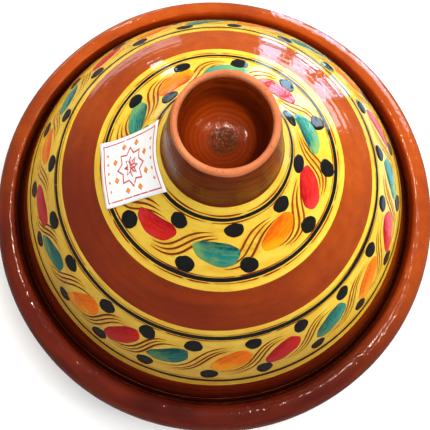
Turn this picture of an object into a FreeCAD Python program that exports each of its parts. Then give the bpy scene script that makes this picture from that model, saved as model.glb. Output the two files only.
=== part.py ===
import FreeCAD, Part
import math
import os

# A glazed earthenware tagine: a shallow dish with a rolled rim, and a tall domed lid that sits in
# the gallery inside that rim and ends in a hollow cup-shaped knob. Two bands of yellow slip run
# round the lid, and a paper label is stuck on the upper one.
#
# Millimetres. +Z is the pot's own axis, pointing up. The origin is the centre of the dish's foot.
# Every outline below is a half section in the XZ plane, turned once round the axis.

# ---- driving dimensions: the dish ----
rim_radius = 151.0            # widest part of the rolled rim
rim_widest_height = 47.5      # and how high it is above the foot
rim_crest_radius = 139.5      # top of the rim
rim_crest_height = 60.5
rim_inner_radius = 136.0      # rim's inner edge, where the gallery wall starts
rim_inner_height = 57.5
rim_under_radius = 146.0      # where the dish's wall runs into the rim from below
rim_under_height = 42.0
seat_height = 44.0            # gallery floor, where the lid stands
seat_inner_radius = 123.0
gallery_wall_radius = 134.8   # foot of the gallery wall
bowl_edge_radius = 120.5      # top of the bowl, inside the seat
bowl_edge_height = 41.5
foot_radius = 92.0            # dish's turned foot
foot_recess_radius = 74.0     # shallow recess under the dish
foot_recess_depth = 2.5
dish_floor_height = 9.0       # top of the dish's floor above the foot
dish_floor_radius = 68.0      # flat part of that floor

# ---- the lid ----
seat_gap = 0.3                # clearance left under the lid's foot
lid_foot_radius = 133.3       # outside of the lid just above its foot
lid_foot_rounding = 2.7       # height of the rounding under that
lid_rise = 139.2              # crown's height above the lid's foot
lid_wall = 7.0                # thickness of the wall
lid_foot_slope = 72.3         # steepness of the wall at its foot, in degrees
lid_foot_reach = 110.0        # how strongly the wall keeps to that slope
lid_knob_slope = 59.9         # steepness where it meets the knob
lid_knob_reach = 58.9
lid_inner_reach = 104.0       # the same as lid_foot_reach, for the inside of the wall
crown_radius = 33.0           # where the lid's wall meets the knob
crown_thickness = 10.0
crown_flat_radius = 12.0      # level part of the lid's inside, under the crown

# ---- the knob ----
knob_height = 42.5
knob_rim_radius = 27.0        # widest part of the knob's rim
knob_opening_radius = 23.3    # mouth of the knob's cup
knob_cup_depth = 33.0
knob_cup_floor_radius = 12.0

# ---- the slip and the label ----
slip_thickness = 0.4          # how far a band of slip stands off the lid's wall
upper_band = (33.3, 72.3)     # inner and outer radius of each band of slip
lower_band = (93.8, 124.4)
upper_band_slope = 42.5       # steepness of the lid's wall at the middle of each band
lower_band_slope = 57.0

label_length = 48.0           # along the lid's slope
label_width = 38.0
label_thickness = 0.3
label_azimuth = 194.3         # degrees round the pot
label_radius = 50.5           # distance of the label's centre from the axis
label_rise = 117.0            # height of the label's centre above the lid's foot

# ---- levels that follow from them ----
lid_foot_height = seat_height + seat_gap
crown_height = lid_foot_height + lid_rise
knob_top = crown_height + knob_height


def point(radius, height):
    """A point of a half section."""
    return FreeCAD.Vector(radius, 0, height)


def toward(start, angle, length):
    """The point at a distance from start, at an angle above the direction of the axis."""
    slope = math.radians(angle)
    return start + FreeCAD.Vector(-length * math.cos(slope), 0, length * math.sin(slope))


def line(start, end):
    return Part.LineSegment(start, end).toShape()


def curve(*poles):
    """A Bezier curve through its first and last pole."""
    bezier = Part.BezierCurve()
    bezier.setPoles(list(poles))
    return bezier.toShape()


def turned(edges):
    """The solid that a closed half section makes when it turns round the pot's axis."""
    face = Part.Face(Part.Wire(edges))
    return face.revolve(FreeCAD.Vector(0, 0, 0), FreeCAD.Vector(0, 0, 1), 360)


def lid_wall_poles():
    """The lid's outer wall: steep at the foot, easing to a dome, then sweeping up to the knob."""
    foot = point(lid_foot_radius, lid_foot_height + lid_foot_rounding)
    crown = point(crown_radius, crown_height)
    return [
        foot,
        toward(foot, lid_foot_slope, lid_foot_reach),
        toward(crown, lid_knob_slope, -lid_knob_reach),
        crown,
    ]


def make_base_dish():
    """Foot, flared wall, rolled rim, gallery for the lid, and the cooking bowl."""
    recess_centre = point(0, foot_recess_depth)
    recess_edge = point(foot_recess_radius - 3, foot_recess_depth)
    recess_corner = point(foot_recess_radius, foot_recess_depth)
    foot_inner = point(foot_recess_radius, 0)
    foot_outer = point(foot_radius - 1.5, 0)
    foot_corner = point(foot_radius, 0)
    wall_start = point(foot_radius, 2)
    wall_flare = [point(119, 6), point(127, 31)]
    rim_under = point(rim_under_radius, rim_under_height)
    rim_under_turn = point(rim_radius, rim_widest_height - 2.6)
    rim_side = point(rim_radius, rim_widest_height)
    rim_slope = [point(rim_radius, rim_crest_height - 6), point(rim_radius - 4.5, rim_crest_height)]
    rim_crest = point(rim_crest_radius, rim_crest_height)
    rim_inner_turn = point(rim_inner_radius + 0.2, rim_crest_height)
    rim_inner = point(rim_inner_radius, rim_inner_height)
    gallery_wall_foot = point(gallery_wall_radius, seat_height + 2)
    gallery_corner = point(gallery_wall_radius - 0.2, seat_height)
    seat_outer = point(gallery_wall_radius - 2, seat_height)
    seat_inner = point(seat_inner_radius, seat_height)
    bowl_corner = point(bowl_edge_radius + 0.3, seat_height)
    bowl_edge = point(bowl_edge_radius, bowl_edge_height)
    bowl_wall = [point(118, 17), point(98, dish_floor_height)]
    bowl_floor = point(dish_floor_radius, dish_floor_height)
    bowl_centre = point(0, dish_floor_height)
    return turned([
        line(recess_centre, recess_edge),
        curve(recess_edge, recess_corner, foot_inner),
        line(foot_inner, foot_outer),
        curve(foot_outer, foot_corner, wall_start),
        curve(wall_start, *wall_flare, rim_under),
        curve(rim_under, rim_under_turn, rim_side),
        curve(rim_side, *rim_slope, rim_crest),
        curve(rim_crest, rim_inner_turn, rim_inner),
        line(rim_inner, gallery_wall_foot),
        curve(gallery_wall_foot, gallery_corner, seat_outer),
        line(seat_outer, seat_inner),
        curve(seat_inner, bowl_corner, bowl_edge),
        curve(bowl_edge, *bowl_wall, bowl_floor),
        line(bowl_floor, bowl_centre),
        line(bowl_centre, recess_centre),
    ])


def make_lid_shell():
    """The domed lid: a thrown wall on a rounded foot, closed by a flat crown for the knob."""
    wall = lid_wall_poles()
    foot_outer = wall[0]
    crown = wall[3]
    inner_radius = lid_foot_radius - lid_wall
    foot_outer_turn = point(lid_foot_radius + 0.3, lid_foot_height)
    foot_flat_outer = point(lid_foot_radius - 2.5, lid_foot_height)
    foot_flat_inner = point(inner_radius + 0.7, lid_foot_height)
    foot_inner_turn = point(inner_radius - 0.1, lid_foot_height)
    inner_foot = point(inner_radius - 0.3, lid_foot_height + 1.5)
    inner_crown = point(0, crown_height - crown_thickness)
    inner_crown_edge = point(crown_flat_radius, crown_height - crown_thickness)
    crown_centre = point(0, crown_height)
    return turned([
        curve(*wall),
        line(crown, crown_centre),
        line(crown_centre, inner_crown),
        curve(inner_crown, inner_crown_edge, toward(inner_foot, lid_foot_slope, lid_inner_reach), inner_foot),
        curve(inner_foot, foot_inner_turn, foot_flat_inner),
        line(foot_flat_inner, foot_flat_outer),
        curve(foot_flat_outer, foot_outer_turn, foot_outer),
    ])


def make_lid_knob():
    """The hollow knob: a cup that tapers to a flat, rounded rim."""
    base_centre = point(0, crown_height)
    base_edge = point(crown_radius, crown_height)
    side = [point(crown_radius - 1.8, crown_height + 5), point(crown_radius - 2.4, crown_height + 24)]
    rim_side = point(knob_rim_radius, knob_top - 3)
    rim_outer_turn = point(knob_rim_radius - 0.2, knob_top - 0.2)
    rim_crest = point((knob_rim_radius + knob_opening_radius) / 2, knob_top)
    rim_inner_turn = point(knob_opening_radius + 0.1, knob_top - 0.1)
    rim_inner = point(knob_opening_radius, knob_top - 2.2)
    cup_side = point(knob_opening_radius - 1.3, knob_top - 20)
    cup_turn = [
        point(knob_opening_radius - 2.8, knob_top - knob_cup_depth),
        point(knob_cup_floor_radius, knob_top - knob_cup_depth),
    ]
    cup_floor = point(0, knob_top - knob_cup_depth)
    return turned([
        line(base_centre, base_edge),
        curve(base_edge, *side, rim_side),
        curve(rim_side, rim_outer_turn, rim_crest),
        curve(rim_crest, rim_inner_turn, rim_inner),
        line(rim_inner, cup_side),
        curve(cup_side, *cup_turn, cup_floor),
        line(cup_floor, base_centre),
    ])


def wall_layer(inner_offset, outer_offset, slope):
    """A skin on the lid's wall, between two distances off it, square to the wall where it has this slope."""
    normal = FreeCAD.Vector(math.sin(math.radians(slope)), 0, math.cos(math.radians(slope)))
    inner = [pole + normal * inner_offset for pole in lid_wall_poles()]
    outer = [pole + normal * outer_offset for pole in lid_wall_poles()]
    return turned([
        curve(*inner),
        line(inner[3], outer[3]),
        curve(*outer),
        line(outer[0], inner[0]),
    ])


def tall_tube(radii):
    """A tall tube between two radii, used to cut a band out of a layer."""
    inner, outer = radii
    tall = crown_height * 2
    return Part.makeCylinder(outer, tall).cut(Part.makeCylinder(inner, tall))


def make_slip_band(radii, slope):
    """A band of slip painted on the lid's wall."""
    return wall_layer(0, slip_thickness, slope).common(tall_tube(radii))


def make_paper_label():
    """A rectangle of paper that follows the lid's wall, over the upper band of slip."""
    paper = wall_layer(slip_thickness, slip_thickness + label_thickness, upper_band_slope)
    deep = 40.0
    block = Part.makeBox(label_length, label_width, deep)
    block.translate(FreeCAD.Vector(-label_length / 2, -label_width / 2, -deep / 2))
    block.rotate(FreeCAD.Vector(0, 0, 0), FreeCAD.Vector(0, 1, 0), upper_band_slope)
    block.translate(point(label_radius, lid_foot_height + label_rise))
    block.rotate(FreeCAD.Vector(0, 0, 0), FreeCAD.Vector(0, 0, 1), label_azimuth)
    return paper.common(block)


parts = {
    "base_dish": make_base_dish(),
    "lid_shell": make_lid_shell(),
    "lid_knob": make_lid_knob(),
    "upper_slip_band": make_slip_band(upper_band, upper_band_slope),
    "lower_slip_band": make_slip_band(lower_band, lower_band_slope),
    "paper_label": make_paper_label(),
}

os.makedirs("parts", exist_ok=True)
for name, shape in parts.items():
    shape.exportStep("parts/" + name + ".step")
    print(name, shape.ShapeType, len(shape.Solids), shape.isValid(), round(shape.Volume / 1000, 2), "cm3")
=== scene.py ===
import math
import random

import bpy
import numpy as np
from mathutils import Matrix, Vector
from mathutils.geometry import delaunay_2d_cdt


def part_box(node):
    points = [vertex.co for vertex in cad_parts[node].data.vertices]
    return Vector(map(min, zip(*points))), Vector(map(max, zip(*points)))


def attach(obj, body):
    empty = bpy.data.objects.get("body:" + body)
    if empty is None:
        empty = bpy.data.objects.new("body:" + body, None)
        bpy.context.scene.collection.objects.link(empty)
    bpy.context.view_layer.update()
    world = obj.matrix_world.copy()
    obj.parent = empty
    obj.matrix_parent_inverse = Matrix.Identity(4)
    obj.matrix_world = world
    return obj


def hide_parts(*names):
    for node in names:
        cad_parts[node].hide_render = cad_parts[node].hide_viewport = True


# A hand-painted earthenware tagine on a pale floor. The dish, the lid and the knob are thrown
# forms with an uneven, glazed surface. The painting on the lid is built up as the potter did it:
# two bands of yellow slip with lines scratched through to the clay, then black rings, coloured
# leaves and black dots laid over them. A paper label is stuck on the upper band.
#
# Everything is worked out in millimetres and becomes metres as each mesh is made. A place on the
# lid's wall is an angle round the pot and a distance up the wall from the lid's foot.

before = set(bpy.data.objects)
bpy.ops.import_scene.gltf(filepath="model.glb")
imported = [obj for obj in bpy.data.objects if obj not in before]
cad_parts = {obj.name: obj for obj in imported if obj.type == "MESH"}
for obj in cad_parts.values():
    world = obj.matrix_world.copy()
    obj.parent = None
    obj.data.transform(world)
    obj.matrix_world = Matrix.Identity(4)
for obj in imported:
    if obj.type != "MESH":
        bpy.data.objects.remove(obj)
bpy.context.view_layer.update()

METRE = 1000.0


def box_mm(node):
    """A CAD node's lowest and highest corners, in millimetres."""
    low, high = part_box(node)
    return np.array(low) * METRE, np.array(high) * METRE


_, dish_high = box_mm("base_dish")
lid_low, lid_high = box_mm("lid_shell")
_, knob_high = box_mm("lid_knob")

# ---- driving sizes ----
rim_radius = dish_high[0]
rim_height = dish_high[2]
rim_crest = rim_radius - 11.5       # how far out the rim's highest ring lies
rim_inner = rim_radius - 15.0       # the rim's inner edge, above the gallery
seat_height = lid_low[2] - 0.3      # gallery floor, where the lid stands

lid_foot = lid_low[2]
lid_radius = lid_high[0]
lid_wall = 7.0                      # thickness of the wall
lid_foot_rounding = 2.7             # height of the rounding under the wall
lid_foot_slope = 72.3               # steepness of the wall at its foot, in degrees
lid_foot_reach = 110.0              # how strongly the wall keeps to that slope
lid_inner_reach = 104.0             # the same, for the inside of the wall
lid_knob_slope = 59.9               # steepness where it meets the knob
lid_knob_reach = 58.9
crown_radius = knob_high[0]
crown_height = lid_high[2]
crown_thickness = 10.0
knob_top = knob_high[2]

slip = 0.32                         # thickness of the yellow slip
sunk = 0.06                         # how far a layer reaches into the one under it
edge_step = 2.2                     # spacing of the points along an edge of the slip
dot_radius = 5.1
stroke_width = 1.35                 # width of a line scratched through the slip
thrown_turns = 288                  # points in each ring of a thrown form
wall_seed = 11                      # random seed of the unevenness of the lid's wall


# ---- curves and surfaces ----

def bezier(poles, count):
    """Points along a Bezier curve, both ends included."""
    degree = len(poles) - 1
    t = np.linspace(0, 1, count)[:, None]
    terms = [
        math.comb(degree, k) * (1 - t) ** (degree - k) * t ** k * np.array(pole, float)
        for k, pole in enumerate(poles)
    ]
    return sum(terms)


def outline(spacing, start, *curves):
    """A run of points along Bezier curves that meet end to end. Each curve is given by the poles that
    follow the end of the one before."""
    points = []
    for following in curves:
        poles = [start, *following]
        rough = bezier(poles, 40)
        length = np.hypot(*np.diff(rough, axis=0).T).sum()
        points.extend(bezier(poles, max(2, round(length / spacing) + 1))[:-1])
        start = poles[-1]
    points.append(np.array(start, float))
    return np.array(points)


def toward(start, angle, length):
    """The point at a distance from start, at an angle above the direction of the axis."""
    slope = math.radians(angle)
    return start[0] - length * math.cos(slope), start[1] + length * math.sin(slope)


def run_length(points):
    """Distance along a run of points, from its start to each of them."""
    steps = np.hypot(*np.diff(points, axis=0).T)
    return np.concatenate([[0], np.cumsum(steps)])


def outward(points):
    """Unit normals on the right-hand side of a run of points."""
    tangent = np.gradient(points, axis=0)
    normal = np.stack([tangent[:, 1], -tangent[:, 0]], axis=1)
    return normal / np.linalg.norm(normal, axis=1)[:, None]


def all_round(count):
    """Angles at even steps all the way round."""
    return np.arange(count) * math.tau / count


def ease(value):
    """0 to 1, smooth at both ends."""
    value = np.clip(value, 0, 1)
    return value * value * (3 - 2 * value)


def uneven(theta, along, seed, waves=0.22, rings=0.05):
    """How far a thrown wall stands off its true form: long waves, and the rings fingers leave."""
    ring_pitch = 5.2
    drift_pitch = 47
    rng = random.Random(seed)
    total = 0
    for turns in (1, 2, 3, 4, 6, 9):
        pitch = rng.uniform(35, 110)
        phase = rng.uniform(0, math.tau)
        total = total + waves / turns ** 0.6 * np.sin(turns * theta + math.tau * along / pitch + phase)
    drift = 0.8 * np.sin(math.tau * along / drift_pitch + 2 * theta)
    return total + rings * np.sin(math.tau * along / ring_pitch + theta + drift)


lid_foot_point = (lid_radius, lid_foot + lid_foot_rounding)
crown_point = (crown_radius, crown_height)
wall_poles = [
    lid_foot_point,
    toward(lid_foot_point, lid_foot_slope, lid_foot_reach),
    toward(crown_point, lid_knob_slope, -lid_knob_reach),
    crown_point,
]
wall_line = bezier(wall_poles, 900)
wall_run = run_length(wall_line)
wall_normal = outward(wall_line)
wall_length = wall_run[-1]


def wall_radius(along):
    return np.interp(along, wall_run, wall_line[:, 0])


def points_round(along, step):
    """How many points at this spacing go once round the lid."""
    return round(math.tau * wall_radius(along) / step)


def free_wall(along):
    """0 at the foot of the lid's wall and at the knob, where it runs true, and 1 between them."""
    return ease(along / 6) * ease((wall_length - along) / 5)


def on_wall(theta, along, height=0.0):
    """Points on the lid's wall, or a height off it, at angles in radians and distances up the wall."""
    theta, along = np.broadcast_arrays(np.asarray(theta, float), np.asarray(along, float))
    off = uneven(theta, along, wall_seed) * free_wall(along) + height
    radius = wall_radius(along) + off * np.interp(along, wall_run, wall_normal[:, 0])
    up = np.interp(along, wall_run, wall_line[:, 1]) + off * np.interp(along, wall_run, wall_normal[:, 1])
    return np.stack([radius * np.cos(theta), radius * np.sin(theta), up], axis=-1)


def wall_facing(theta, along):
    """Unit normals of the lid's uneven wall."""
    step = 0.3
    turn = step / wall_radius(along)
    round_pot = on_wall(theta + turn, along) - on_wall(theta - turn, along)
    up_wall = on_wall(theta, along + step) - on_wall(theta, along - step)
    facing = np.cross(round_pot, up_wall)
    return facing / np.linalg.norm(facing, axis=-1)[..., None]


# ---- mesh makers ----

pieces_on = {"base": [], "lid": []}


def make_object(name, points, faces, material, **attributes):
    """A smooth mesh object, with one number for each point under each attribute's name."""
    mesh = bpy.data.meshes.new(name)
    mesh.from_pydata((np.asarray(points) / METRE).tolist(), [], faces)
    mesh.polygons.foreach_set("use_smooth", [True] * len(mesh.polygons))
    for key, values in attributes.items():
        mesh.attributes.new(key, "FLOAT", "POINT").data.foreach_set("value", np.asarray(values, np.float32))
    mesh.materials.append(material)
    mesh.update()
    piece = bpy.data.objects.new(name, mesh)
    bpy.context.scene.collection.objects.link(piece)
    return piece


def finish_piece(piece, body, slot, *nodes):
    """Ties a piece to its body and hides the CAD nodes that it stands for. slot is not used."""
    pieces_on[body].append(piece)
    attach(piece, body)
    if nodes:
        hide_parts(*nodes)


def make_group(name, parts, material, slot):
    """Several solids as one piece on the lid. Each part is its points, its faces and its values."""
    points, faces, values = [], [], {}
    start = 0
    for part_points, part_faces, part_values in parts:
        points.append(part_points)
        faces.extend(tuple(corner + start for corner in face) for face in part_faces)
        for key, numbers in part_values.items():
            values.setdefault(key, []).append(numbers)
        start += len(part_points)
    values = {key: np.concatenate(numbers) for key, numbers in values.items()}
    finish_piece(make_object(name, np.concatenate(points), faces, material, **values), "lid", slot)


def ring_faces(count, rings, closed=False):
    """The faces between rings of count points, and between the last and the first ring if closed."""
    faces = []
    for ring in range(rings if closed else rings - 1):
        low = ring * count
        high = (ring + 1) % rings * count
        for k in range(count):
            after = (k + 1) % count
            faces.append((low + k, low + after, high + after, high + k))
    return faces


def capped_rings(count, rings):
    """The same for a solid closed at each end by a centre point. The two centres follow the rings."""
    faces = ring_faces(count, rings)
    first = rings * count
    top = first - count
    for k in range(count):
        after = (k + 1) % count
        faces.append((first, after, k))
        faces.append((first + 1, top + k, top + after))
    return faces


def lathe(name, section, lift, material, **ring_values):
    """A closed thrown form. section runs from the axis round the outside and back to the axis, and
    lift moves each ring's points off it. Each ring value is a number for each of section's points."""
    turns = lift.shape[1]
    theta = all_round(turns)
    normal = outward(section)
    inner = slice(1, len(section) - 1)
    radius = section[inner, 0][:, None] + normal[inner, 0][:, None] * lift[inner]
    height = section[inner, 1][:, None] + normal[inner, 1][:, None] * lift[inner]
    rings = np.stack([radius * np.cos(theta), radius * np.sin(theta), height], axis=-1).reshape(-1, 3)
    centres = [(0, 0, section[0, 1]), (0, 0, section[-1, 1])]
    attributes = {
        key: np.concatenate([np.repeat(values[inner], turns), [values[0], values[-1]]])
        for key, values in ring_values.items()
    }
    faces = capped_rings(turns, len(section) - 2)
    return make_object(name, np.concatenate([rings, centres]), faces, material, **attributes)


# ---- materials ----

def new_material(name):
    material = bpy.data.materials.new(name)
    material.use_nodes = True
    return material, material.node_tree


def connect(tree, value, socket):
    """Feeds a socket from another one, a number or a colour."""
    if isinstance(value, bpy.types.NodeSocket):
        tree.links.new(value, socket)
    elif socket.type == "RGBA":
        socket.default_value = value + (1,)
    else:
        socket.default_value = value


def add_node(tree, kind, inputs, **settings):
    """A new shader node with its settings, and with its inputs fed from sockets, numbers or colours."""
    node = tree.nodes.new("ShaderNode" + kind)
    for name, value in settings.items():
        setattr(node, name, value)
    for name, value in inputs.items():
        connect(tree, value, node.inputs[name])
    return node


def position(tree):
    """Where on the pot, in metres from the centre of its foot."""
    return add_node(tree, "TexCoord", {}).outputs["Object"]


def attribute(tree, name):
    """A number stored on the mesh."""
    return add_node(tree, "Attribute", {}, attribute_name=name).outputs["Fac"]


def math_node(tree, operation, *values):
    return add_node(tree, "Math", dict(enumerate(values)), operation=operation).outputs[0]


def times(tree, *values):
    return math_node(tree, "MULTIPLY", *values)


def ramp(tree, value, low, high, form="SMOOTHSTEP"):
    """0 below low, 1 above high, and between them smooth, or straight if form is LINEAR."""
    inputs = {"Value": value, "From Min": low, "From Max": high}
    return add_node(tree, "MapRange", inputs, interpolation_type=form).outputs["Result"]


def noise(tree, scale, detail, low=0.3, high=0.7, stretch=(1, 1, 1)):
    """Noise fixed to the piece, scale to the metre, spread so that low is 0 and high is 1."""
    where = add_node(tree, "Mapping", {"Vector": position(tree), "Scale": stretch}).outputs["Vector"]
    texture = add_node(tree, "TexNoise", {"Vector": where, "Scale": scale, "Detail": detail})
    return ramp(tree, texture.outputs["Fac"], low, high, "LINEAR")


def mix(tree, factor, first, second):
    """A colour between two colours, or a number between two numbers."""
    kind = "FLOAT" if isinstance(second, float) else "RGBA"
    inputs = {"Factor": factor, "A": first, "B": second}
    return add_node(tree, "Mix", inputs, data_type=kind).outputs["Result"]


def tinted(tree, colour, other, mask, share):
    """A colour turned toward another one, by a share of a mask."""
    return mix(tree, times(tree, mask, share), colour, other)


def set_surface(tree, colour, roughness, *relief):
    """Gives a material its colour, its roughness and its relief. Each layer of relief is a height
    and the depth it stands for, in millimetres."""
    inputs = {"Base Color": colour, "Roughness": roughness}
    below = {}
    for height, depth in relief:
        node = add_node(tree, "Bump", {"Height": height, "Distance": depth / METRE} | below)
        below = {"Normal": node.outputs["Normal"]}
    for name, value in (inputs | below).items():
        connect(tree, value, tree.nodes["Principled BSDF"].inputs[name])


def painted_side_shade(tree, start):
    """Painted shade on the side of the pot away from the light: 0 at its back and right, 1 at its front
    left. start is where it begins, in metres from the axis toward the shaded side."""
    toward_shade = {0: position(tree), 1: (-0.34, -0.94, 0.0)}
    facing = add_node(tree, "VectorMath", toward_shade, operation="DOT_PRODUCT").outputs["Value"]
    drift = math_node(tree, "MULTIPLY_ADD", noise(tree, 11, 3, 0.35, 0.65), 0.05, facing)
    return ramp(tree, drift, start, 0.150)


def fired_glaze(tree, dark, middle, light):
    """A clear, warm glaze over red clay: cloudy, mottled, and streaked round the pot. dark and light are
    its shaded and lit copies, mixed as painted shade toward the front left. It is nearly black where
    the deep attribute is high: painted shade in the dish's gallery and at the lid's foot, and darker
    under the painted bands and toward the knob's foot."""
    mottle = noise(tree, 120, 5, stretch=(1, 1, 1.4))
    streaks = noise(tree, 90, 4, 0.35, 0.65, (0.2, 0.2, 2.4))
    clouds = noise(tree, 24, 4, 0.40, 0.72)
    specks = noise(tree, 900, 2, 0.66, 0.74)
    painted_lit_side = tinted(tree, light, middle, mottle, 0.45)
    painted_shade_side = tinted(tree, dark, middle, streaks, 0.35)
    smoky = (middle[0] * 0.62, middle[1] * 0.62, middle[2] * 1.9)
    shade_and_dark_glaze_black = (0.035, 0.004, 0.002)
    # Painted shade: the lit copy at the back and right turns into the shaded copy at the front left.
    colour = mix(tree, painted_side_shade(tree, -0.05), painted_lit_side, painted_shade_side)
    colour = tinted(tree, colour, smoky, clouds, 0.45)
    # Nearly black where deep is high: painted shade in the gallery and at the lid's foot, and darker under
    # the painted bands and toward the knob's foot.
    colour = tinted(tree, colour, shade_and_dark_glaze_black, attribute(tree, "deep"), 0.75)
    return tinted(tree, colour, (0.05, 0.012, 0.006), specks, 0.5)


def bare_clay(tree):
    """Unglazed red clay: gritty, with darker stains and a few burnt spots."""
    grit = noise(tree, 1500, 3)
    stain = noise(tree, 60, 4)
    burnt = noise(tree, 330, 3, 0.66, 0.74)
    clay = mix(tree, stain, (0.56, 0.17, 0.068), (0.70, 0.27, 0.12))
    clay = tinted(tree, clay, (0.42, 0.11, 0.045), grit, 0.35)
    return tinted(tree, clay, (0.12, 0.035, 0.018), burnt, 0.8), grit, stain


def finish_earthenware(tree, glaze, gloss, *relief):
    """Glaze where the bare attribute is low, clay where it is high, with a ragged line between."""
    clay, grit, stain = bare_clay(tree)
    ragged = math_node(tree, "MULTIPLY_ADD", stain, 0.3, attribute(tree, "bare"))
    bare = ramp(tree, ragged, 0.58, 0.72)
    colour = mix(tree, bare, glaze, clay)
    dulled = math_node(tree, "MULTIPLY_ADD", noise(tree, 40, 4), 0.08, gloss)
    roughness = mix(tree, bare, dulled, 0.75)
    pool = noise(tree, 85, 3, 0.2, 0.8)
    pinholes = noise(tree, 420, 2, 0.70, 0.76)
    rough_clay = times(tree, grit, bare)
    set_surface(tree, colour, roughness, (pool, 0.16), (pinholes, 0.12), (rough_clay, 0.22), *relief)


def earthenware(name, lumps, dark):
    """Brown-glazed clay. lumps is the height of the unevenness in its glaze, in millimetres, and dark is
    its colour in painted shade.
    """
    material, tree = new_material(name)
    glaze = fired_glaze(tree, dark, (0.32, 0.044, 0.006), (0.50, 0.100, 0.010))
    finish_earthenware(tree, glaze, 0.06, (noise(tree, 150, 3, 0.25, 0.75), lumps))
    return material


def distance_from(tree, centre):
    """Distance in plan from a point near the pot's axis, in metres."""
    flat = add_node(tree, "VectorMath", {0: position(tree), 1: (1, 1, 0)}, operation="MULTIPLY")
    ends = {0: flat.outputs["Vector"], 1: centre + (0,)}
    return add_node(tree, "VectorMath", ends, operation="DISTANCE").outputs["Value"]


def throwing_lines(tree):
    """Uneven rings round the axis, where fingers drew the clay out."""
    inputs = {"Vector": position(tree), "Scale": 130, "Distortion": 3.0, "Detail": 3.0, "Detail Scale": 0.6}
    wave = add_node(tree, "TexWave", inputs, wave_type="RINGS", rings_direction="Z")
    return wave.outputs["Fac"]


def knob_earthenware():
    """Darker on the outside where the glaze ran. The cup is brighter, but for painted shade on its wall
    and the dark pool of glaze that set in it."""
    material, tree = new_material("knob_glaze")
    outside = fired_glaze(tree, (0.12, 0.014, 0.003), (0.20, 0.030, 0.004), (0.36, 0.072, 0.007))
    runs = noise(tree, 150, 4, 0.42, 0.68, (0.5, 0.5, 2.2))
    outside = tinted(tree, outside, (0.045, 0.007, 0.003), runs, 0.6)
    inside = fired_glaze(tree, (0.22, 0.030, 0.003), (0.32, 0.046, 0.004), (0.37, 0.060, 0.005))
    inside = tinted(tree, inside, (0.12, 0.018, 0.003), throwing_lines(tree), 0.35)
    # Painted shade: outside a circle a little off the axis, the cup's wall is much darker, as it lies in
    # shade.
    painted_shade = ramp(tree, distance_from(tree, (-0.003, 0.001)), 0.0182, 0.0210)
    inside = tinted(tree, inside, (0.050, 0.008, 0.003), painted_shade, 0.72)
    cup = attribute(tree, "cup")
    sprinkle = noise(tree, 1500, 3, 0.36, 0.55)
    pooled = times(tree, attribute(tree, "pool"), sprinkle)
    glaze = tinted(tree, mix(tree, cup, outside, inside), (0.05, 0.025, 0.005), pooled, 0.92)
    pits = noise(tree, 800, 2, 0.5, 0.7)
    finish_earthenware(tree, glaze, mix(tree, cup, 0.20, 0.05), (pits, 0.04))
    tree.nodes["Principled BSDF"].inputs["Specular IOR Level"].default_value = 0.16
    return material


def glaze_waves(tree):
    """The slow waves in the clear glaze that covers the painting."""
    return noise(tree, 105, 4, 0.2, 0.8)


def painted(name, body, light, pooled, brushed=(1, 1, 1), thin=None):
    """Slip or brushed colour under the glaze: light in places, pooled and deep in others. If thin is
    given, that colour shows where the coat is thin, and the front left side is darker, as painted shade."""
    material, tree = new_material(name)
    streaks = noise(tree, 220, 4, stretch=brushed)
    patches = noise(tree, 70, 4, 0.32, 0.68)
    colour = tinted(tree, mix(tree, streaks, body, light), pooled, patches, 0.6)
    if thin is not None:
        # Painted shade: on the front left side the slip turns toward a shaded copy of its colour, and more
        # of it is wiped thin.
        shaded = (pooled[0] * 0.57, pooled[1] * 0.60, pooled[2] * 2.0)
        side_shade = painted_side_shade(tree, 0.02)
        worn = math_node(tree, "MULTIPLY_ADD", side_shade, 0.6, 0.4)
        wiped = times(tree, noise(tree, 160, 5, 0.48, 0.78, brushed), worn)
        dabbed = noise(tree, 130, 4, 0.3, 0.75)
        smeared = times(tree, attribute(tree, "thin"), dabbed)
        # Painted shade on the front left.
        colour = tinted(tree, colour, shaded, side_shade, 0.8)
        colour = tinted(tree, colour, thin, math_node(tree, "MAXIMUM", wiped, smeared), 0.6)
    roughness = mix(tree, noise(tree, 55, 3), 0.07, 0.16)
    set_surface(tree, colour, roughness, (glaze_waves(tree), 0.22), (streaks, 0.04))
    return material


def brush_streaks(tree):
    """Streaks that run the length of a leaf, different on each leaf."""
    across = times(tree, attribute(tree, "across"), 3.5)
    own = times(tree, attribute(tree, "own"), 9.0)
    where = add_node(tree, "CombineXYZ", {"X": attribute(tree, "along"), "Y": across, "Z": own})
    texture = add_node(tree, "TexNoise", {"Vector": where.outputs["Vector"], "Scale": 1.5, "Detail": 3.0})
    return ramp(tree, texture.outputs["Fac"], 0.42, 0.62)


def leaf_paint(name, body, deep, wash, wash_amount, painted_shade):
    """A loaded brush's stroke: deep along one side, streaked, and washed out to another colour at the
    end. Its last argument is how much painted shade darkens it on the front left side of the pot."""
    material, tree = new_material(name)
    along = attribute(tree, "along")
    across = attribute(tree, "across")
    hairs = noise(tree, 420, 4)
    cloudy = noise(tree, 120, 4)
    lean = math_node(tree, "MULTIPLY_ADD", across, -0.45, times(tree, along, -0.75))
    lean = math_node(tree, "ADD", lean, times(tree, cloudy, 0.7))
    washed = times(tree, ramp(tree, lean, 0.35, 1.05), attribute(tree, "own"))
    one_side = math_node(tree, "MULTIPLY_ADD", hairs, 0.6, across)
    colour = mix(tree, ramp(tree, one_side, 0.1, 1.2), body, deep)
    colour = tinted(tree, colour, wash, brush_streaks(tree), 0.27)
    colour = tinted(tree, colour, wash, washed, wash_amount)
    # Painted shade: the leaf turns toward a darker copy of its deep colour on the front left side of the
    # pot.
    dark = tuple(part * 0.30 for part in deep)
    colour = tinted(tree, colour, dark, painted_side_shade(tree, 0.0), painted_shade)
    roughness = mix(tree, cloudy, 0.06, 0.14)
    set_surface(tree, colour, roughness, (glaze_waves(tree), 0.18), (hairs, 0.04))
    return material


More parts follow.
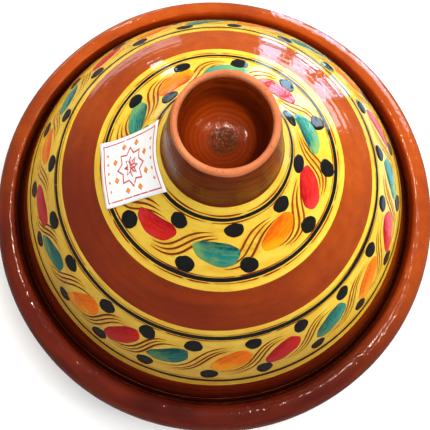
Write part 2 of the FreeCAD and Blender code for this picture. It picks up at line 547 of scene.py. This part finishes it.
def paper_material():
    """Coated white label paper with a faint fibre and a little handling dirt."""
    material, tree = new_material("label_paper")
    fibre = noise(tree, 1300, 4)
    handling = noise(tree, 55, 4, 0.45, 0.8)
    colour = mix(tree, fibre, (0.88, 0.88, 0.89), (0.94, 0.94, 0.95))
    colour = tinted(tree, colour, (0.78, 0.72, 0.62), handling, 0.3)
    set_surface(tree, colour, mix(tree, fibre, 0.42, 0.55), (fibre, 0.02))
    return material


def print_material(name, ink, faded):
    """Printing ink, thin in places."""
    material, tree = new_material(name)
    worn = noise(tree, 700, 3, 0.4, 0.75)
    set_surface(tree, tinted(tree, ink, faded, worn, 0.6), mix(tree, worn, 0.35, 0.5))
    return material


def floor_material():
    material, tree = new_material("pale_floor")
    set_surface(tree, mix(tree, noise(tree, 3, 3), (0.86, 0.86, 0.86), (0.90, 0.90, 0.89)), 0.6)
    return material


# The last colour of each glaze is its copy in painted shade, on the front left of the pot.
lid_glaze = earthenware("lid_glaze", 0.13, (0.10, 0.012, 0.005))
dish_glaze = earthenware("dish_glaze", 0.36, (0.065, 0.008, 0.006))
knob_glaze = knob_earthenware()
yellow_slip = painted(
    "yellow_slip", (0.86, 0.58, 0.046), (0.90, 0.68, 0.105), (0.76, 0.45, 0.028),
    brushed=(0.35, 0.35, 1.6), thin=(0.44, 0.17, 0.010)
)
black_paint = painted("black_paint", (0.006, 0.006, 0.007), (0.014, 0.014, 0.014), (0.020, 0.016, 0.010))
# The last number of each leaf paint is how much painted shade darkens it on the front left.
leaf_paints = {
    "teal": leaf_paint("teal_leaf", (0.020, 0.28, 0.24), (0.003, 0.09, 0.10), (0.36, 0.55, 0.12), 0.9, 0.75),
    "red": leaf_paint("red_leaf", (0.72, 0.024, 0.010), (0.44, 0.006, 0.010), (0.80, 0.08, 0.09), 0.6, 0.62),
    "orange": leaf_paint(
        "orange_leaf", (0.92, 0.22, 0.003), (0.70, 0.11, 0.002), (0.95, 0.42, 0.006), 1.0, 0.42
    ),
}


# ---- the dish, the lid's wall and the knob ----

def thrown_lift(along, free, seed, waves=0.22, rings=0.05):
    """How far each point of a thrown form stands off its section. along is each ring's place on the
    section, and free is 0 where it runs true."""
    return uneven(all_round(thrown_turns)[None, :], along[:, None], seed, waves, rings) * free[:, None]


def lift_grid(section, seed, free, waves, rings):
    """The same for a section that reaches the axis, where every form runs true."""
    return thrown_lift(run_length(section), free * ease(section[:, 0] / 30), seed, waves, rings)


def make_dish():
    """Foot, flared wall, rolled rim, gallery and bowl. Its rim is a little out of round."""
    foot_edge = 92.0
    recess = 74.0
    recess_depth = 2.5
    floor = 9.0
    floor_edge = 68
    gallery = rim_inner - 1.2
    seat_inner = 123
    bowl_edge = 120.5
    section = outline(
        1.6, (0, recess_depth),
        [(recess - 3, recess_depth)],
        [(recess, recess_depth), (recess, 0)],
        [(foot_edge - 1.5, 0)],
        [(foot_edge, 0), (foot_edge, 2)],
        [(119, 6), (127, 31), (rim_radius - 5, rim_height - 18.5)],
        [(rim_radius, rim_height - 15.6), (rim_radius, rim_height - 13)],
        [(rim_radius, rim_height - 6), (rim_radius - 4.5, rim_height), (rim_crest, rim_height)],
        [(rim_inner + 0.2, rim_height), (rim_inner, rim_height - 3)],
        [(gallery, seat_height + 2)],
        [(gallery - 0.2, seat_height), (gallery - 2, seat_height)],
        [(seat_inner, seat_height)],
        [(bowl_edge + 0.3, seat_height), (bowl_edge, seat_height - 2.5)],
        [(118, 17), (98, floor), (floor_edge, floor)],
        [(0, floor)],
    )
    radius, height = section.T
    in_gallery = (radius > bowl_edge - 1.5) & (radius < rim_inner + 0.5) & (height > seat_height - 3)
    off_foot = ease((height - 0.2) / 8)
    lift = lift_grid(section, 3, np.where(in_gallery, 0.15, 1.0) * off_foot, 0.26, 0.05)
    bare = ease((6.0 - height) / 5.0)
    # Painted shade in the gallery, which the lid shades: the glaze darkens toward the gallery's floor.
    deep = in_gallery * ease((rim_height - 5 - height) / 9)
    dish = lathe("dish_earthenware", section, lift, dish_glaze, bare=bare, deep=deep)
    push_out_of_round(dish)
    finish_piece(dish, "base", "brown_glaze", "base_dish")


def push_out_of_round(dish):
    """Leans the dish's rim a little to one side and flattens it a little, most at the outside."""
    mesh = dish.data
    places = np.empty(len(mesh.vertices) * 3, np.float32)
    mesh.vertices.foreach_get("co", places)
    places = places.reshape(-1, 3) * METRE
    radius = np.hypot(places[:, 0], places[:, 1])
    theta = np.arctan2(places[:, 1], places[:, 0])
    share = ease((radius - 112) / 30) * ease((places[:, 2] - 4) / 30)
    above_seat = ease((places[:, 2] - seat_height - 3) / 12)
    share = share * np.where(radius < rim_inner + 1.5, 0.35 * above_seat, 1.0)
    push = share * (1.3 * np.cos(theta) - 2.8 * np.sin(theta) - 0.9 * np.cos(2 * theta))
    places[:, 0] += push * np.cos(theta)
    places[:, 1] += push * np.sin(theta)
    mesh.vertices.foreach_set("co", (places / METRE).ravel())
    mesh.update()


def make_lid_wall():
    """The lid: glazed outside, bare clay inside and on its foot."""
    inside_top = crown_height - crown_thickness
    inner_radius = lid_radius - lid_wall
    inner_foot = (inner_radius - 0.3, lid_foot + 1.5)
    inside = outline(
        1.8, (0, inside_top),
        [(12, inside_top), toward(inner_foot, lid_foot_slope, lid_inner_reach), inner_foot],
        [(inner_radius - 0.1, lid_foot), (inner_radius + 0.7, lid_foot)],
        [(lid_radius - 2.5, lid_foot)],
        [(lid_radius + 0.3, lid_foot), lid_foot_point],
    )[:-1]
    wall_steps = np.linspace(0, wall_length, round(wall_length / 1.3))
    wall_height = np.interp(wall_steps, wall_run, wall_line[:, 1])
    wall = np.stack([wall_radius(wall_steps), wall_height], axis=1)
    cap = outline(3.0, crown_point, [(0, crown_height)])[1:]
    section = np.concatenate([inside, wall, cap])

    inside_lift = lift_grid(inside, 23, ease((inside[:, 1] - lid_foot - 2) / 10), 0.3, 0.16)
    wall_lift = thrown_lift(wall_steps, free_wall(wall_steps), wall_seed)
    lift = np.concatenate([inside_lift, wall_lift, np.zeros((len(cap), thrown_turns))])
    bare = np.concatenate([np.ones(len(inside)), ease(1 - wall_steps / 2.5), np.zeros(len(cap))])
    under_lower_band = (wall_steps > 30) & (wall_steps < 84)
    under_upper_band = wall_steps > 119
    # Painted shade near the lid's foot, where it stands in the gallery, and darker under the painted bands,
    # so that the scratches through the slip show darker.
    wall_shade_and_dark_glaze = ease(1 - wall_steps / 16) + 0.40 * under_lower_band + 0.10 * under_upper_band
    deep = np.concatenate([np.zeros(len(inside)), wall_shade_and_dark_glaze, np.zeros(len(cap))])
    lid = lathe("lid_earthenware", section, lift, lid_glaze, bare=bare, deep=deep)
    finish_piece(lid, "lid", "brown_glaze", "lid_shell")


def make_knob():
    """The hollow knob: glazed inside and out, with a bare, flat-rounded rim."""
    rim_out = 27.0
    mouth = 23.3
    top = knob_top
    cup_floor = top - 33.0
    section = outline(
        0.8, (0, crown_height),
        [(crown_radius, crown_height)],
        [(31.2, crown_height + 5), (30.6, crown_height + 24), (rim_out, top - 3)],
        [(rim_out - 0.2, top - 0.2), ((rim_out + mouth) / 2, top)],
        [(mouth + 0.1, top - 0.1), (mouth, top - 2.2)],
        [(mouth - 1.3, top - 20)],
        [(20.5, cup_floor), (12, cup_floor), (0, cup_floor)],
    )
    radius, height = section.T
    free = ease((height - crown_height) / 4)
    bare = ease((height - (top - 4.2)) / 2.4)
    past_rim = np.arange(len(section)) > np.argmax(height)
    # The cup's upper wall keeps the outside's darker glaze, which also stands as painted shade under the
    # rim.
    cup = past_rim * ease((top - 8 - height) / 18)
    pool = ease((9.5 - radius) / 4) * past_rim
    # deep darkens the outside toward the knob's foot, where it meets the lid.
    deep = ~past_rim * 0.45 * ease(1 - (height - crown_height) / 12)
    lift = lift_grid(section, 31, free, 0.16, 0.03)
    knob = lathe("knob_earthenware", section, lift, knob_glaze, bare=bare, cup=cup, pool=pool, deep=deep)
    finish_piece(knob, "lid", "brown_glaze", "lid_knob")


# ---- the yellow slip ----

def wavy(theta, seed, size):
    """The wander of a line drawn by hand on a turning wheel."""
    rng = random.Random(seed)
    total = 0
    for turns in (1, 2, 3, 5, 8, 13):
        total = total + np.sin(turns * theta + rng.uniform(0, math.tau)) / turns ** 0.7
    return total * size / 2


def ring_edge(along, seed, size):
    """A closed line round the lid, as angles and distances up the wall."""
    theta = all_round(points_round(along, edge_step))
    return np.stack([theta, along + wavy(theta, seed, size)], axis=1)


def ring_scratches(seed, along, breaks, width):
    """A line scratched round the lid in several strokes, with slivers of slip left between them."""
    gap = 0.9
    rng = random.Random(seed)
    starts = sorted((k + rng.uniform(-0.35, 0.35)) / breaks * math.tau for k in range(breaks))
    strokes = []
    for start, end in zip(starts, starts[1:] + [starts[0] + math.tau]):
        spare = gap / wall_radius(along)
        count = max(4, round((end - start) * wall_radius(along) / edge_step))
        theta = np.linspace(start + spare / 2, end - spare / 2, count)
        middle = along + wavy(theta, seed, 0.22)
        thin = width / 2 * (0.72 + 0.28 * np.sin(theta * 9 + seed)) * taper(np.linspace(0, 1, count), 0.02)
        lower = np.stack([theta, middle - thin], axis=1)
        upper = np.stack([theta, middle + thin], axis=1)
        strokes.append(np.concatenate([lower, upper[::-1]]))
    return strokes


def taper(t, share):
    """1 along a stroke, closing at both ends over a share of it."""
    return np.sqrt(np.clip(np.minimum(t, 1 - t) / share, 0.04, 1))


def flowing_scratches(leaf_angles, low, high, start, end, lean, spacing, seed):
    """Sets of three lines, each under one leaf, up through the gap and over the next leaf."""
    rng = random.Random(seed)
    degree = math.radians(1) * wall_radius((low + high) / 2)
    strokes = []
    for here, following in zip(leaf_angles, leaf_angles[1:] + [leaf_angles[0] + 360]):
        middle = (here + following) / 2
        for k in (-1, 0, 1):
            across = spacing * (k + rng.uniform(-0.12, 0.12))
            side = across * 0.87 / degree
            poles = np.array([
                (here + start + rng.uniform(-1.5, 1.5) / degree, low),
                (middle + lean, low - 2.4),
                (middle - lean, high + 2.4),
                (following + end + rng.uniform(-2.0, 2.0) / degree, high),
            ]) + (side, -across * 0.5)
            line = bezier(poles, 34)[rng.randint(0, 3):34 - rng.randint(0, 4)]
            strokes.append(brushed_outline(line, stroke_width * rng.uniform(0.85, 1.2)))
    return strokes


def brushed_outline(line, width):
    """The outline of a tapering stroke along a line of angles in degrees and distances up the wall."""
    theta = np.radians(line[:, 0])
    local = wall_radius(line[:, 1])
    tangent = np.stack([np.gradient(theta) * local, np.gradient(line[:, 1])], axis=1)
    tangent /= np.linalg.norm(tangent, axis=1)[:, None]
    half = width / 2 * taper(np.linspace(0, 1, len(line)), 0.18)
    side = np.stack([-tangent[:, 1] * half / local, tangent[:, 0] * half], axis=1)
    centre = np.stack([theta, line[:, 1]], axis=1)
    return np.concatenate([centre + side, (centre - side)[::-1]])


chart_reach = wall_length + 20      # how far from the centre of the flat chart the lid's foot lies


def flat_chart(places):
    """Angles and distances up the wall, laid out flat as a ring round a centre."""
    reach = chart_reach - places[:, 1]
    return np.stack([reach * np.cos(places[:, 0]), reach * np.sin(places[:, 0])], axis=1)


def from_flat_chart(points):
    """The angles and distances up the wall of points of the flat chart."""
    theta = np.arctan2(points[:, 1], points[:, 0])
    return theta, chart_reach - np.hypot(points[:, 0], points[:, 1])


def counterclockwise(loop):
    """The same loop, turned about if it runs clockwise."""
    after = np.roll(loop, -1, axis=0)
    area = (loop[:, 0] * after[:, 1] - after[:, 0] * loop[:, 1]).sum()
    return loop if area > 0 else loop[::-1]


def make_slip_band(name, node, low, high, scratches, seed):
    """A closed coat of slip between two distances up the wall, with the scratches cut through it."""
    row_step = 3.0
    point_step = 3.2
    tolerance = 1e-5
    outer = ring_edge(low, seed, 0.35)
    inner = ring_edge(high, seed + 1, 0.3)
    filling = []
    for row, along in enumerate(np.arange(low + 2, high - 1, row_step)):
        count = points_round(along, point_step)
        theta = (np.arange(count) + 0.5 * (row % 2)) * math.tau / count
        filling.append(np.stack([theta, np.full(count, along)], axis=1))
    points = [counterclockwise(flat_chart(loop)) for loop in [outer, inner] + scratches]
    loops = []
    start = 0
    for loop in points:
        loops.append(list(range(start, start + len(loop))))
        start += len(loop)
    points.extend(flat_chart(rows) for rows in filling)
    flat = np.concatenate(points)
    made, _, faces, sources, _, origins = delaunay_2d_cdt(flat.tolist(), [], loops, 0, tolerance, True)
    in_outer_loop_only = [0]
    slip_faces = [tuple(face) for face, of in zip(faces, origins) if list(of) == in_outer_loop_only]
    cuts = range(len(outer) + len(inner), start)

    used = sorted({corner for face in slip_faces for corner in face})
    index = {corner: k for k, corner in enumerate(used)}
    theta, along = from_flat_chart(np.array([made[corner][:] for corner in used]))
    top = on_wall(theta, along, slip)
    under = on_wall(theta, along, -sunk)
    facing = wall_facing(theta, along)
    upward = [tuple(index[c] for c in face) for face in slip_faces]
    upward = [face if turned_out(top, facing, face) else face[::-1] for face in upward]
    count = len(used)
    downward = [tuple(c + count for c in face[::-1]) for face in upward]
    directed = {(face[k], face[(k + 1) % 3]) for face in upward for k in range(3)}
    rims = [(a, b) for a, b in directed if (b, a) not in directed]
    walls = [(b, a, a + count, b + count) for a, b in sorted(rims)]
    thin = [float(any(source in cuts for source in sources[corner])) for corner in used]
    layers = np.concatenate([top, under])
    band = make_object(name, layers, upward + downward + walls, yellow_slip, thin=thin + thin)
    shade_by_wall(band, facing, len(upward), len(downward))
    finish_piece(band, "lid", "yellow_slip", node)


def turned_out(points, facing, face):
    """Whether a triangle faces the same way as the wall under it."""
    a, b, c = (points[k] for k in face)
    return np.dot(np.cross(b - a, c - a), facing[face[0]]) > 0


def shade_by_wall(piece, facing, upper_faces, lower_faces):
    """Shades a coat's two faces by the wall's own normals, so that its many small faces don't show."""
    mesh = piece.data
    normals = np.zeros((len(mesh.loops), 3), np.float32)
    corners = np.array([loop.vertex_index for loop in mesh.loops])
    count = len(facing)
    upper = upper_faces * 3
    lower = upper + lower_faces * 3
    normals[:upper] = facing[corners[:upper]]
    normals[upper:lower] = -facing[corners[upper:lower] - count]
    for face in mesh.polygons[upper_faces + lower_faces:]:
        normals[list(face.loop_indices)] = face.normal
    mesh.normals_split_custom_set(normals.tolist())


# ---- black rings, leaves and dots ----

def black_ring(along, width, seed):
    """A thin black line round the lid, closed on itself, with a low rounded section."""
    count = points_round(along, 1.6)
    theta = all_round(count)
    middle = along + wavy(theta, seed, 0.25)
    half = width / 2 * (1 + 0.16 * wavy(theta, seed + 5, 1.0))
    side = [(1.0, -sunk), (0.97, 0.05), (0.7, 0.12)]
    section = [(-across, height) for across, height in side] + [(0.0, 0.15)] + side[::-1]
    rows = [on_wall(theta, middle + half * across, slip + height) for across, height in section]
    return np.concatenate(rows), ring_faces(count, len(section), closed=True), {}


def dab(angle, along, tilt, shape, height, own):
    """A rounded dab of paint. shape gives its outline's reach in millimetres for each direction."""
    around = 40
    x, y = shape(all_round(around))
    levels = [(1.0, -0.06), (1.0, 0.25), (0.97, 0.5), (0.9, 0.74), (0.75, 0.9), (0.5, 0.97), (0.25, 1.0)]
    rows = [(x * share, y * share, slip + height * rise) for share, rise in levels]
    centre = np.zeros(1)
    rows += [(centre, centre, slip - sunk), (centre, centre, slip + height)]
    points = np.concatenate([dab_points(angle, along, math.radians(tilt), *row) for row in rows])
    values = {
        "along": np.concatenate([row[0] for row in rows]) / np.abs(x).max(),
        "across": np.concatenate([row[1] for row in rows]) / np.abs(y).max(),
        "own": np.full(len(points), own),
    }
    return points, capped_rings(around, len(levels)), values


def dab_points(angle, along, turn, x, y, height):
    """Places on the wall at millimetre offsets from a centre, turned by an angle."""
    sideways = x * math.cos(turn) - y * math.sin(turn)
    upward = x * math.sin(turn) + y * math.cos(turn)
    up = along + upward
    return on_wall(math.radians(angle) + sideways / wall_radius(up), up, height)


def leaf_shape(rng, half_length, half_width):
    """A plump leaf with a blunt tip and a narrower stalk end."""
    length = half_length * rng.uniform(0.94, 1.05)
    width = half_width * rng.uniform(0.93, 1.07)
    stalk = rng.uniform(0.10, 0.24)
    bend = rng.uniform(-0.10, 0.10)
    phases = [rng.uniform(0, math.tau) for _ in range(3)]

    def shape(direction):
        ragged = 1 + 0.025 * np.sin(3 * direction + phases[0]) + 0.02 * np.sin(7 * direction + phases[1])
        cosine, sine = np.cos(direction), np.sin(direction)
        x = length * np.sign(cosine) * np.abs(cosine) ** 0.88 * ragged
        y = width * np.sign(sine) * np.abs(sine) ** 0.92 * (1 + stalk * cosine) * ragged
        return x, y + bend * x * cosine
    return shape


def dot_shape(rng):
    """A dot set down by a full brush: round, a little ragged."""
    radius = dot_radius * rng.uniform(0.93, 1.07)
    phases = [rng.uniform(0, math.tau) for _ in range(4)]

    def shape(direction):
        reach = radius * (
            1 + 0.055 * np.sin(2 * direction + phases[0]) + 0.03 * np.sin(3 * direction + phases[1])
            + 0.018 * np.sin(5 * direction + phases[2]) + 0.012 * np.sin(8 * direction + phases[3])
        )
        return reach * np.cos(direction), reach * np.sin(direction)
    return shape


def make_leaves(name, leaves, along, size, seed):
    """One piece for each colour of leaf in a band."""
    rng = random.Random(seed)
    groups = {}
    for angle, tilt, colour in leaves:
        centre = along + rng.uniform(-0.8, 0.8)
        leaf = dab(angle, centre, tilt, leaf_shape(rng, *size), 0.30, rng.uniform(0.35, 1.0))
        groups.setdefault(colour, []).append(leaf)
    for colour, parts in groups.items():
        make_group(name + "_" + colour, parts, leaf_paints[colour], colour + "_paint")


def make_dots(name, places, seed):
    """All of a band's black dots, as one piece of separate dabs."""
    rng = random.Random(seed)
    parts = []
    for angle, along in places:
        spot = along + rng.uniform(-0.5, 0.5)
        parts.append(dab(angle, spot, rng.uniform(0, 180), dot_shape(rng), 0.42, 1.0))
    make_group(name, parts, black_paint, "black_paint")


def make_black_rings(name, rings, seed):
    """The black lines of a band. Each ring is its distance up the wall and its width."""
    parts = [black_ring(along, width, seed + k) for k, (along, width) in enumerate(rings)]
    make_group(name, parts, black_paint, "black_paint")


# Leaves as painted: angle round the pot, tilt and colour.
upper_leaves = [
    (25, 14, "teal"), (59, 18, "red"), (94, 20, "teal"), (127, 24, "orange"), (161, 30, "teal"),
    (197, 20, "orange"), (234, 12, "red"), (275, -14, "teal"), (315, 22, "orange"), (349, 40, "red"),
]
lower_leaves = [
    (10, 30, "teal"), (28, 32, "red"), (47, 30, "orange"), (65, 32, "teal"), (84, 30, "orange"),
    (102, 30, "teal"), (119, 28, "orange"), (138, 26, "red"), (157, 32, "teal"), (175, 26, "orange"),
    (195, 16, "red"), (211, 26, "teal"), (230, 46, "orange"), (246, 48, "red"), (262, 26, "teal"),
    (282, 32, "orange"), (299, 36, "red"), (317, 30, "teal"), (335, 34, "orange"), (352, 36, "red"),
]


def paint_upper_band():
    low = 115.6
    high = wall_length - 0.2
    leaf_angles = [angle for angle, _, _ in upper_leaves]
    scratches = flowing_scratches(leaf_angles, 131.8, 151.8, -1.0, 6.0, 6.0, 3.6, 51)
    for seed, ring in enumerate([(120.5, 22, 1.3), (125.1, 5, 1.2), (160.3, 5, 1.3), (165.8, 4, 1.8)], 61):
        scratches += ring_scratches(seed, *ring)
    make_slip_band("upper_slip", "upper_slip_band", low, high, scratches, 41)
    make_black_rings("upper_black_rings", [(123.0, 2.5), (163.2, 2.9)], 71)
    make_leaves("upper_leaf", upper_leaves, 141.0, (12.9, 7.1), 81)
    above = [(angle + 12, 155.0) for angle in leaf_angles]
    below = [(angle, 130.4) for angle in (5, 31, 58, 87, 119, 151, 186, 221, 259, 293, 332)]
    make_dots("upper_dots", above + below, 91)


def paint_lower_band():
    low = 26.8
    high = 87.4
    leaf_angles = [angle for angle, _, _ in lower_leaves]
    scratches = flowing_scratches(leaf_angles, 45.6, 71.2, -3.6, 2.6, 3.2, 2.9, 52)
    for seed, ring in enumerate([(32.4, 6, 1.1), (37.6, 6, 1.4), (79.2, 6, 1.4), (83.7, 6, 1.2)], 65):
        scratches += ring_scratches(seed, *ring)
    make_slip_band("lower_slip", "lower_slip_band", low, high, scratches, 44)
    make_black_rings("lower_black_rings", [(34.9, 2.6), (81.5, 2.7)], 75)
    make_leaves("lower_leaf", lower_leaves, 57.8, (14.2, 7.3), 82)
    above = [(angle + 7.6, 73.4) for angle in leaf_angles]
    below = [(angle - 6.6, 44.6) for angle in leaf_angles]
    make_dots("lower_dots", above + below, 92)


# ---- the paper label ----

label_half_length = 24.0
label_half_width = 19.0
label_angle = math.radians(194.2)
label_along = 145.8
label_cone = math.sin(math.radians(47.5))         # the wall is this steep there
label_apex = wall_radius(label_along) / label_cone


def on_label(u, v, height):
    """Points of the flat label, u up the wall and v round it, once it lies on the cone of the lid."""
    reach = np.hypot(label_apex - u, v)
    theta = label_angle + np.arctan2(v, label_apex - u) / label_cone
    along = label_along - (reach - label_apex)
    corner = ease((np.abs(u) / label_half_length + np.abs(v) / label_half_width - 1.55) / 0.45)
    curl = np.where((u < 0) & (v < 0), 1.3, 0.35) * corner
    return on_wall(theta, along, slip + 0.55 + curl + height)


def make_label():
    """The paper itself, a thin closed sheet."""
    rows = 25
    columns = 21
    half_thickness = 0.10
    u, v = np.meshgrid(
        np.linspace(-label_half_length, label_half_length, rows),
        np.linspace(-label_half_width, label_half_width, columns),
        indexing="ij",
    )
    sides = [on_label(u, v, height).reshape(-1, 3) for height in (half_thickness, -half_thickness)]
    count = rows * columns
    grid = np.arange(count).reshape(rows, columns)
    faces = []
    for a in grid[:-1, :-1].ravel().tolist():
        quad = (a, a + 1, a + columns + 1, a + columns)
        faces.append(quad[::-1])
        faces.append(tuple(corner + count for corner in quad))
    rim = np.concatenate([grid[0], grid[1:, -1], grid[-1, -2::-1], grid[-2:0:-1, 0]]).tolist()
    faces += [(a, b, b + count, a + count) for a, b in zip(rim, rim[1:] + rim[:1])]
    label = make_object("paper_sticker", np.concatenate(sides), faces, paper_material())
    finish_piece(label, "lid", "paper", "paper_label")


def printed(name, loops, material):
    """Printed shapes on the label. Each is an outer loop and an inner one with as many points."""
    low = 0.06
    high = 0.13
    parts = []
    for outer, inner in loops:
        section = [(outer, low), (outer, high), (inner, high), (inner, low)]
        points = np.concatenate([on_label(loop[:, 0], loop[:, 1], height) for loop, height in section])
        faces = [(a, d, c, b) for a, b, c, d in ring_faces(len(outer), len(section), closed=True)]
        parts.append((points, faces, {}))
    make_group(name, parts, material, "paper")


def along_sides(tips, each):
    """A closed outline through its tips, with some points along each of its sides."""
    tips = np.array(tips, float)
    steps = np.arange(each)[:, None]
    return np.concatenate([a + (b - a) * steps / each for a, b in zip(tips, np.roll(tips, -1, axis=0))])


def star_loop(outer_reach, inner_reach, points_count):
    """A star's outline."""
    tips = []
    for k in range(points_count * 2):
        reach = outer_reach if k % 2 == 0 else inner_reach
        turn = math.pi * k / points_count
        tips.append((reach * math.cos(turn), reach * math.sin(turn)))
    return along_sides(tips, 4)


def frame_loop(x, y):
    """The outline of a rectangle that reaches x and y from its centre."""
    return along_sides([(x, y), (-x, y), (-x, -y), (x, -y)], 14)


def lozenge(centre, reach, waist):
    """A filled lozenge: its outline, and a very small one in its middle."""
    loop = star_loop(reach, waist, 4)
    return centre + loop, centre + loop * 0.08


def print_label():
    """A plain ornament: a fine frame, an eight-pointed star and a rosette of small lozenges."""
    red_ink = print_material("red_ink", (0.62, 0.05, 0.04), (0.72, 0.25, 0.22))
    orange_ink = print_material("orange_ink", (0.85, 0.27, 0.02), (0.85, 0.45, 0.20))
    frame_line = (frame_loop(21.6, 16.7), frame_loop(20.9, 16.0))
    star_line = (star_loop(11.6, 8.2, 8), star_loop(10.2, 7.2, 8))
    heart = (star_loop(6.2, 3.4, 8), star_loop(0.6, 0.3, 8))
    printed("label_print_red", [frame_line, star_line, heart], red_ink)
    lozenges = []
    for k in range(8):
        turn = math.tau * (k + 0.5) / 8
        lozenges.append(lozenge(np.array([math.cos(turn), math.sin(turn)]) * 13.4, 2.0, 1.42))
    for side in (-1, 1):
        for k in range(5):
            lozenges.append(lozenge(np.array([side * 18.3, (k - 2) * 5.2]), 1.1, 0.78))
    printed("label_print_orange", lozenges, orange_ink)


# ---- floor, light and camera ----

def make_floor():
    half = 1300.0
    below = -0.2
    points = [(-half, -half, below), (half, -half, below), (half, half, below), (-half, half, below)]
    floor = make_object("floor", points, [(0, 1, 2, 3)], floor_material())
    floor.visible_glossy = False


def soft_light(
    name, place, size, watts, colour=(1, 1, 1), target=(0, 0, 0.1), glossy=True, lights=True, only=()
):
    """A rectangular soft box, in metres, aimed at a point. glossy says if the glaze mirrors it,
    lights says if it lights the pot as well, and only names the pieces it is for, if not all."""
    light = bpy.data.lights.new(name, "AREA")
    light.shape = "RECTANGLE"
    light.size, light.size_y = size
    light.energy = watts
    light.color = colour
    lamp = bpy.data.objects.new(name, light)
    lamp.visible_camera = False
    lamp.visible_glossy = glossy
    lamp.visible_diffuse = lights
    bpy.context.scene.collection.objects.link(lamp)
    if only:
        group = bpy.data.collections.new(name + "_pieces")
        for piece in only:
            group.objects.link(piece)
        lamp.light_linking.receiver_collection = group
    aim = Vector(target) - Vector(place)
    lamp.matrix_world = Matrix.Translation(place) @ aim.to_track_quat("-Z", "Y").to_matrix().to_4x4()


def paned_window(name, place, target, size, watts, colour):
    """A window that the glaze mirrors, divided by bars into three panes by two."""
    columns, rows, glass = 3, 2, 0.70
    aim = (Vector(target) - Vector(place)).to_track_quat("-Z", "Y")
    pane_size = (size[0] / columns * glass, size[1] / rows * glass)
    for column in range(columns):
        for row in range(rows):
            across = (column + 0.5) / columns - 0.5
            up = (row + 0.5) / rows - 0.5
            offset = aim @ Vector((across * size[0], up * size[1], 0))
            soft_light(
                "%s_%d_%d" % (name, column, row), Vector(place) + offset, pane_size,
                watts / (columns * rows), colour, Vector(target) + offset, lights=False
            )


def light_scene():
    world = bpy.data.worlds.new("studio")
    world.use_nodes = True
    background = world.node_tree.nodes["Background"]
    background.inputs["Color"].default_value = (0.97, 0.98, 1.0, 1)
    background.inputs["Strength"].default_value = 0.20
    bpy.context.scene.world = world
    warm = (1.0, 0.93, 0.80)
    daylight = (0.72, 0.86, 1.0)
    sky = (0.38, 0.70, 1.0)
    mid_lid = (0, 0, 0.12)
    on_lid = pieces_on["lid"]
    on_knob = [bpy.data.objects["knob_earthenware"]]
    soft_light("window", (0.85, 1.45, 0.42), (1.25, 1.0), 22, daylight, (0.05, 0.05, 0.12))
    paned_window("low_window", (0.17, 0.39, 0.005), (0, 0, 0.08), (0.27, 0.24), 0.66, sky)
    soft_light(
        "ground_right", (0.30, 0.14, -0.07), (0.26, 0.13), 0.10, sky, (0.1, 0, 0.09),
        lights=False, only=on_lid
    )
    soft_light("ground_left", (-0.31, 0.42, -0.06), (0.34, 0.09), 0.12, daylight, mid_lid, lights=False)
    soft_light("left_pane", (-0.26, 0.44, 0.13), (0.05, 0.03), 0.07, daylight, mid_lid, lights=False)
    soft_light("overhead", (0.32, -0.12, 1.45), (1.3, 1.1), 20.5, glossy=False)
    soft_light("fill", (-0.75, -0.65, 1.15), (0.9, 0.9), 2.5, glossy=False)
    soft_light("fill_back", (-0.60, 0.90, 0.80), (0.8, 0.8), 6.5, warm, glossy=False)
    soft_light("strip_left", (-0.46, 0.14, 1.30), (0.17, 0.05), 2.8, warm, lights=False)
    soft_light("strip_right", (0.27, 0.08, 1.32), (0.13, 0.06), 1.7, warm, lights=False)
    soft_light("strip_back", (-0.03, 0.18, 1.42), (0.13, 0.07), 3.2, warm, lights=False, only=on_knob)
    soft_light("lamp_right", (0.78, -0.17, 1.03), (0.10, 0.09), 1.1, warm)


def make_camera():
    """Looking down on the pot from its front, turned a little about its own line of sight."""
    elevation = math.radians(77.04)
    roll = math.radians(7.89)
    nod = math.radians(1.08)
    distance = 0.550
    aim = Matrix.Translation((0, 0, 0.056))
    away = Matrix.Translation((0, -distance * math.cos(elevation), distance * math.sin(elevation)))
    tip = Matrix.Rotation(math.pi / 2 - elevation, 4, "X")
    camera = bpy.data.cameras.new("camera")
    camera.sensor_width = 36.0
    camera.lens = 67.05
    camera.clip_start = 0.01
    view = bpy.data.objects.new("camera", camera)
    bpy.context.scene.collection.objects.link(view)
    view.matrix_world = aim @ away @ tip @ Matrix.Rotation(roll, 4, "Z") @ Matrix.Rotation(-nod, 4, "X")
    bpy.context.scene.camera = view


make_dish()
make_lid_wall()
make_knob()
paint_upper_band()
paint_lower_band()
make_label()
print_label()
make_floor()
light_scene()
make_camera()
bpy.context.scene.view_settings.view_transform = "Standard"
bpy.context.scene.view_settings.look = "Medium High Contrast"
